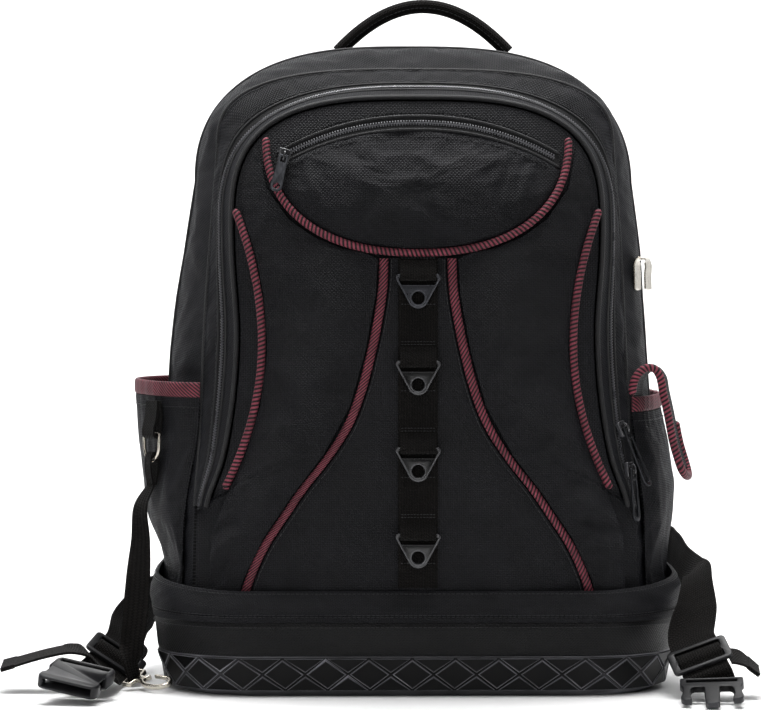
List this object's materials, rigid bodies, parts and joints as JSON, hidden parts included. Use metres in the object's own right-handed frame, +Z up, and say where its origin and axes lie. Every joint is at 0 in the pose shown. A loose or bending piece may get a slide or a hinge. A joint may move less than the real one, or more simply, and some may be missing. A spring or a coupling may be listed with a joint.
{
  "type": "tool backpack",
  "caption": "Soft tool backpack on a moulded base, with zipped compartments, front webbing ladder with rings, side pockets, waist straps and padded shoulder straps.",
  "frame": {"origin": "centre of the base's underside, on the floor", "axes": "+Z up, front towards -Y, +X to the viewer's right"},
  "size_m": [0.5525, 0.3509, 0.5196],
  "materials": {
    "moulded_base": "satin",
    "coated_band": "satin",
    "ballistic_nylon": "matt woven",
    "spacer_mesh": "matt",
    "piping": "satin",
    "zipper": "satin",
    "striped_binding": "matt",
    "webbing": "matt ribbed",
    "blackened_steel": "satin",
    "gunmetal": "satin",
    "brushed_pull": "brushed",
    "nickel": "polished",
    "acetal": "satin"
  },
  "bodies": {
    "bag": {"back_panel": "spacer_mesh", "base_tray": "moulded_base", "centre_panel": "ballistic_nylon", "coated_band": "coated_band", "d_ring": "nickel", "flap": "ballistic_nylon", "flap_binding": "striped_binding", "front_gusset": "ballistic_nylon", "front_panel": "ballistic_nylon", "front_piping": "piping", "front_zip_band": "ballistic_nylon", "front_zipper": "zipper", "handle": "webbing", "hanging_strap": "webbing", "ladder_webbing": "webbing", "left_buckle": "acetal", "left_centre_strip": "striped_binding", "left_front_pouch": "ballistic_nylon", "left_pocket": "ballistic_nylon", "left_pocket_binding": "striped_binding", "left_pouch_piping": "striped_binding", "left_shoulder_slide": "acetal", "left_shoulder_strap": "spacer_mesh", "left_shoulder_webbing": "webbing", "left_strap_slide": "acetal", "left_strap_tail": "webbing", "left_waist_strap": "webbing", "lip_band": "ballistic_nylon", "rear_band_back": "ballistic_nylon", "rear_band_front": "ballistic_nylon", "rear_zipper": "zipper", "right_buckle": "acetal", "right_centre_strip": "striped_binding", "right_front_pouch": "ballistic_nylon", "right_pocket": "ballistic_nylon", "right_pocket_binding": "striped_binding", "right_pouch_piping": "striped_binding", "right_shoulder_slide": "acetal", "right_shoulder_strap": "spacer_mesh", "right_shoulder_webbing": "webbing", "right_strap_slide": "acetal", "right_strap_tail": "webbing", "right_waist_strap": "webbing", "ring_loop": "webbing", "side_clip": "nickel", "side_slider_lower": "gunmetal", "side_slider_upper": "gunmetal", "snap_hook": "nickel", "top_pocket": "ballistic_nylon", "top_pocket_binding": "striped_binding", "top_pocket_zipper": "zipper", "top_slider": "gunmetal"},
    "ring_1": {"ring_1": "blackened_steel"},
    "ring_2": {"ring_2": "blackened_steel"},
    "ring_3": {"ring_3": "blackened_steel"},
    "ring_4": {"ring_4": "blackened_steel"},
    "top_pull": {"top_pull": "brushed_pull"},
    "side_pull_upper": {"side_pull_upper": "brushed_pull"},
    "side_pull_lower": {"side_pull_lower": "brushed_pull"},
    "snap_gate": {"snap_gate": "nickel"}
  },
  "joints": [
    {"name": "ring_1_swing", "type": "hinge", "parent": "bag", "child": "ring_1", "pos_m": [0, -0.1218, 0.304], "axis": [-1, 0, 0], "range_deg": [0, 110]},
    {"name": "ring_2_swing", "type": "hinge", "parent": "bag", "child": "ring_2", "pos_m": [0, -0.12289, 0.2418], "axis": [-1, 0, 0], "range_deg": [0, 110]},
    {"name": "ring_3_swing", "type": "hinge", "parent": "bag", "child": "ring_3", "pos_m": [0, -0.12282, 0.1796], "axis": [-1, 0, 0], "range_deg": [0, 110]},
    {"name": "ring_4_swing", "type": "hinge", "parent": "bag", "child": "ring_4", "pos_m": [0, -0.12077, 0.1174], "axis": [-1, 0, 0], "range_deg": [0, 110]},
    {"name": "side_pull_lower_swing", "type": "hinge", "parent": "bag", "child": "side_pull_lower", "pos_m": [0.15784, -0.08862, 0.16326], "axis": [-0.6266, -0.7773, 0.0562], "range_deg": [0, 25]},
    {"name": "side_pull_upper_swing", "type": "hinge", "parent": "bag", "child": "side_pull_upper", "pos_m": [0.15279, -0.08427, 0.19361], "axis": [-0.5682, -0.8077, -0.1574], "range_deg": [0, 100]},
    {"name": "top_pull_swing", "type": "hinge", "parent": "bag", "child": "top_pull", "pos_m": [-0.0965, -0.10777, 0.39067], "axis": [-0.9707, 0.0544, 0.2339], "range_deg": [0, 100]},
    {"name": "snap_gate_spring", "type": "hinge", "parent": "bag", "child": "snap_gate", "pos_m": [-0.19151, -0.07127, 0.01032], "axis": [0.2014, 0.3564, -0.9124], "range_deg": [0, 18], "stiffness_Nm_per_rad": 0.003, "springref_deg": -8.59}
  ]
}
